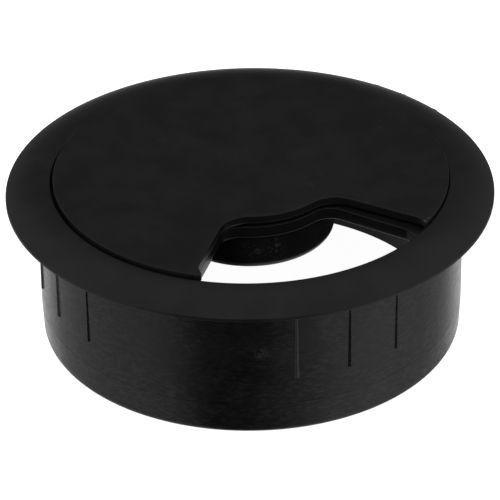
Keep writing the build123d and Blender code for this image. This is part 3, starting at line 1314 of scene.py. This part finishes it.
@dataclass(frozen=True)
class SoftLamp:
    """A square soft lamp that points at the part, placed in metres round it from the photograph's view."""

    name: str
    around: float
    elevation: float
    power: float
    distance: float = 1.1
    size: float = 0.8

    def place(self) -> None:
        """Makes the lamp, which the plastic doesn't mirror."""
        towards = sight_direction(PHOTO_AZIMUTH + self.around, self.elevation)
        data = bpy.data.lights.new(self.name, "AREA")
        data.shape = "SQUARE"
        data.size = self.size
        data.energy = self.power
        lamp = bpy.data.objects.new(self.name, data)
        lamp.location = towards * self.distance
        lamp.rotation_euler = towards.to_track_quat("Z", "Y").to_euler()
        lamp.visible_glossy = False
        bpy.context.scene.collection.objects.link(lamp)


@dataclass(frozen=True)
class Studio:
    """A white table and white air, with soft lamps.

    The camera sees the table and the air white. What the plastic mirrors of them differs by direction.
    Below the horizon it is dim in front of the part, paler to both sides and palest behind it. Above it
    there are pale screens low at the sides and a pale ceiling in dim air. Inside the liner the table
    itself is mirrored, as a pool of light round the axis.
    """

    floor_height: float = -28.02
    floor_reach: float = 6.0
    floor_color: Color = (0.8, 0.8, 0.8, 1.0)
    floor_glow: float = 0.97
    inside_radius: float = 38.5
    inside_dim: float = 0.23
    inside_glow: float = 0.55
    inside_fall: Pair = (34.0, 26.0)
    inside_rise: Pair = (-8.0, 8.0)
    inside_shade: float = 0.22
    left_rise: Pair = (18.0, 58.0)
    right_rise: Pair = (-6.0, 62.0)
    right_fall: Pair = (74.0, 106.0)
    back_rise: Pair = (125.0, 153.0)
    screen_end: Pair = (168.0, 130.0)
    screen_heights: Pair = (0.95, 0.4)
    horizon_heights: Pair = (0.3, 0.0)
    ceiling_heights: Pair = (0.54, 0.74)
    below_heights: Pair = (-0.08, -0.26)
    below_dim: float = 0.055
    below_left: float = 0.5
    below_right: float = 0.68
    below_far_right: float = 0.45
    below_back: float = 0.95
    air_fill: float = 0.3
    air_dim: float = 0.08
    air_side: float = 0.436
    air_horizon: float = 0.09
    air_above: float = 0.37
    lamps: tuple[SoftLamp, ...] = (
        SoftLamp("left_lamp", around=-50.0, elevation=55.0, power=4.0),
        SoftLamp("right_lamp", around=50.0, elevation=55.0, power=4.0),
    )

    def inside_pool(self, board: NodeBoard) -> tuple[Socket, Socket]:
        """The pool of light that falls through the window onto the table inside the liner.

        It is brightest near the axis, and shaded to the left of the photograph's view.

        Args:
            board: the table's nodes.

        Returns:
            The pool's strength, and a mask that is 1 inside the liner.
        """
        place = board.add("TexCoord").outputs["Object"]
        flat = board.vector("MULTIPLY", place, (1.0, 1.0, 0.0))["Vector"]
        radius = board.vector("LENGTH", flat)["Value"]
        fall = (MM * edge for edge in self.inside_fall)
        pool = board.ramp(radius, *fall, self.inside_dim, self.inside_glow)
        turned = math.radians(PHOTO_AZIMUTH)
        right = board.vector("DOT_PRODUCT", place, (math.cos(turned), math.sin(turned), 0.0))["Value"]
        rise = (MM * edge for edge in self.inside_rise)
        shade = board.ramp(right, *rise, start=self.inside_shade)
        within = board.math("LESS_THAN", radius, self.inside_radius * MM)
        return board.math("MULTIPLY", pool, shade), within

    def floor_material(self) -> bpy.types.Material:
        """White table: a plain diffuse surface that takes shadows, with a glow that only straight views see.

        Mirrored views go through it to the air, but for the pool of light inside the liner.

        Returns:
            The material, which is clear from below.
        """
        made = bpy.data.materials.new("white_table")
        made.use_nodes = True
        board = NodeBoard(made.node_tree)
        pool, within = self.inside_pool(board)
        rays = board.add("LightPath").outputs
        straight = board.math("MAXIMUM", rays["Is Camera Ray"], rays["Is Transmission Ray"])
        strength = board.math("MULTIPLY", straight, self.floor_glow)
        glow = board.add("Emission", {"Strength": strength}).outputs[0]
        matt = board.add("BsdfDiffuse", {"Color": self.floor_color}).outputs[0]
        lit = board.add("AddShader", {0: matt, 1: glow}).outputs[0]
        clear = board.add("BsdfTransparent").outputs[0]
        lit_pool = board.add("Emission", {"Strength": pool}).outputs[0]
        mirrored = board.add("MixShader", {0: within, 1: clear, 2: lit_pool}).outputs[0]
        lit = board.add("MixShader", {0: rays["Is Glossy Ray"], 1: lit, 2: mirrored}).outputs[0]
        below = board.add("NewGeometry").outputs["Backfacing"]
        sides = board.add("MixShader", {0: below, 1: lit, 2: clear}).outputs[0]
        board.add("OutputMaterial", {"Surface": sides})
        return made

    def build_floor(self) -> bpy.types.Object:
        """Lays the table under the part's foot, as one square.

        Returns:
            The table.
        """
        corners = SQUARE * self.floor_reach
        points = np.column_stack([corners, np.full(len(corners), self.floor_height * MM)])
        mesh = bpy.data.meshes.new("white_table")
        mesh.from_pydata(points.tolist(), [], [(0, 1, 2, 3)])
        mesh.materials.append(self.floor_material())
        table = bpy.data.objects.new("white_table", mesh)
        bpy.context.scene.collection.objects.link(table)
        return table

    def mirrored_air(self, board: NodeBoard) -> Socket:
        """What the plastic mirrors in a direction, by its angle from the photograph's view and its height.

        The angle is the arctangent of the direction's reach across over its reach towards the camera. Below
        the horizon the light rises in smooth steps from the dim front to either side, and once more to the
        back. Above it the air is dim, with paler screens low at the sides, a pale horizon and a pale ceiling.

        Args:
            board: the world's nodes.

        Returns:
            The light's strength.
        """
        turn = (0.0, 0.0, -math.radians(PHOTO_AZIMUTH))
        inputs = {"Vector": board.add("TexCoord").outputs["Generated"], "Rotation": turn}
        axes = board.add("SeparateXYZ", {"Vector": board.add("Mapping", inputs).outputs["Vector"]}).outputs
        height = axes["Z"]
        angle = board.math("ARCTAN2", axes["X"], board.math("MULTIPLY", axes["Y"], -1.0))
        degrees = board.math("DEGREES", angle)
        left = board.ramp(board.math("MULTIPLY", degrees, -1.0), *self.left_rise)
        right = board.ramp(degrees, *self.right_rise)
        aside = board.math("ABSOLUTE", degrees)
        back = board.ramp(aside, *self.back_rise)
        pale = board.ramp(degrees, *self.right_fall, self.below_right, self.below_far_right)
        below = board.mixed(left, board.mixed(right, self.below_dim, pale), self.below_left)
        below = board.mixed(back, below, self.below_back)
        screens = board.math("MAXIMUM", left, right)
        screens = board.math("MULTIPLY", screens, board.ramp(aside, *self.screen_end))
        screens = board.math("MULTIPLY", screens, board.ramp(height, *self.screen_heights))
        horizon = board.ramp(height, *self.horizon_heights)
        ceiling = board.ramp(height, *self.ceiling_heights)
        parts = (screens, self.air_side), (horizon, self.air_horizon), (ceiling, self.air_above)
        above = board.math("ADD", board.weighted(*parts), self.air_dim)
        return board.mixed(board.ramp(height, *self.below_heights), above, below)

    def build_air(self) -> None:
        """Makes the world: white to the camera, a plain fill for matt light, and the mirrored light."""
        world = bpy.data.worlds.new("studio_air")
        bpy.context.scene.world = world
        world.use_nodes = True
        board = NodeBoard(world.node_tree)
        mirrored = self.mirrored_air(board)
        rays = board.add("LightPath").outputs
        straight = board.math("MAXIMUM", rays["Is Camera Ray"], rays["Is Transmission Ray"])
        other = board.math("SUBTRACT", 1.0, board.math("MAXIMUM", straight, rays["Is Glossy Ray"]))
        glow = board.weighted((other, self.air_fill), (rays["Is Glossy Ray"], mirrored))
        light = board.add("Background", {"Strength": board.math("ADD", glow, straight)}).outputs[0]
        board.add("OutputWorld", {"Surface": light})

    def build(self) -> None:
        """Makes the table, the air and the lamps."""
        self.build_floor()
        self.build_air()
        for lamp in self.lamps:
            lamp.place()


def main() -> None:
    """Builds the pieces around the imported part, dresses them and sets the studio."""
    logging.basicConfig(level=logging.INFO, format="%(message)s")
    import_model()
    bpy.context.scene.view_settings.view_transform = "Standard"
    PhotoCamera().place()
    effects = SurfaceEffects()
    finishes = (GRAINED_TOP_PAINTED_GLINTS, SATIN_WALL, CAP_SIDE_PAINTED_LIGHT, INSIDE_SATIN_PAINTED_LIGHT)
    top, wall, side, inside = (finish.material(effects) for finish in finishes)
    liner, insert, cap = Liner(), Insert(), Cap()
    for part in (liner, insert, cap):
        piece = part.build()
        LOG.info("%s: %d faces", piece.name, len(piece.data.polygons))
    liner.dress({Zone.TOP: top, Zone.WALL: wall, Zone.INSIDE: inside})
    insert.dress(inside)
    cap.dress(top, side)
    Studio().build()


if __name__ == "__main__":
    main()
